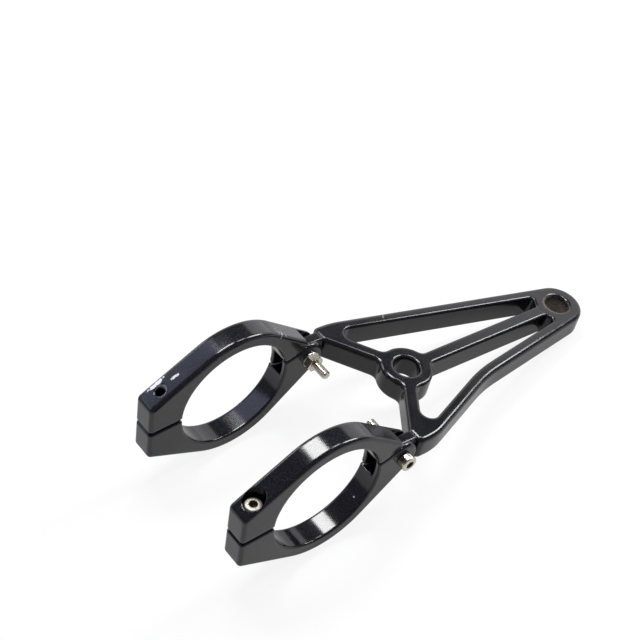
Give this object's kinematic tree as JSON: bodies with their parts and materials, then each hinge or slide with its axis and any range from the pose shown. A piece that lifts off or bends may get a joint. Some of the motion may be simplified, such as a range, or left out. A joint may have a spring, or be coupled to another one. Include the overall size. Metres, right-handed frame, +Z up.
{
  "type": "headlight mounting bracket",
  "caption": "Flat black aluminium headlight bracket: a windowed arm with a bored tip and boss, hinged to split clamps that close round a motorcycle fork tube.",
  "frame": {"origin": "middle of the footprint of the bracket lying on a table, at table height", "axes": "+X from the clamps to the arm's tip, +Y along the fork axis towards the rear clamp, +Z up"},
  "size_m": [0.2076, 0.0798, 0.062],
  "materials": {
    "black_aluminium": "gloss black coat",
    "stainless_steel": "bright turned stainless steel"
  },
  "bodies": {
    "arm": {"arm": "black_aluminium"},
    "front_clamp": {"front_thread_half": "black_aluminium", "front_closing_screw": "stainless_steel", "front_pivot_bolt": "stainless_steel", "front_spring_washer": "stainless_steel", "front_pivot_nut": "stainless_steel"},
    "front_cap": {"front_screw_half": "black_aluminium"},
    "rear_clamp": {"rear_thread_half": "black_aluminium", "rear_closing_screw": "stainless_steel", "rear_pivot_bolt": "stainless_steel", "rear_spring_washer": "stainless_steel", "rear_pivot_nut": "stainless_steel"},
    "rear_cap": {"rear_screw_half": "black_aluminium"}
  },
  "joints": [
    {"name": "front_clamp_swing", "type": "hinge", "parent": "arm", "child": "front_clamp", "pos_m": [-0.02519, -0.0307, 0.02871], "axis": [0, 1, 0], "range_deg": [-46, 60]},
    {"name": "front_clamp_pinch", "type": "hinge", "parent": "front_clamp", "child": "front_cap", "pos_m": [-0.02519, -0.0307, 0.02871], "axis": [0, 1, 0], "range_deg": [-0.8, 0]},
    {"name": "rear_clamp_swing", "type": "hinge", "parent": "arm", "child": "rear_clamp", "pos_m": [-0.02519, 0.0307, 0.02871], "axis": [0, 1, 0], "range_deg": [-46, 60]},
    {"name": "rear_clamp_pinch", "type": "hinge", "parent": "rear_clamp", "child": "rear_cap", "pos_m": [-0.02519, 0.0307, 0.02871], "axis": [0, 1, 0], "range_deg": [0, 0.8]}
  ]
}
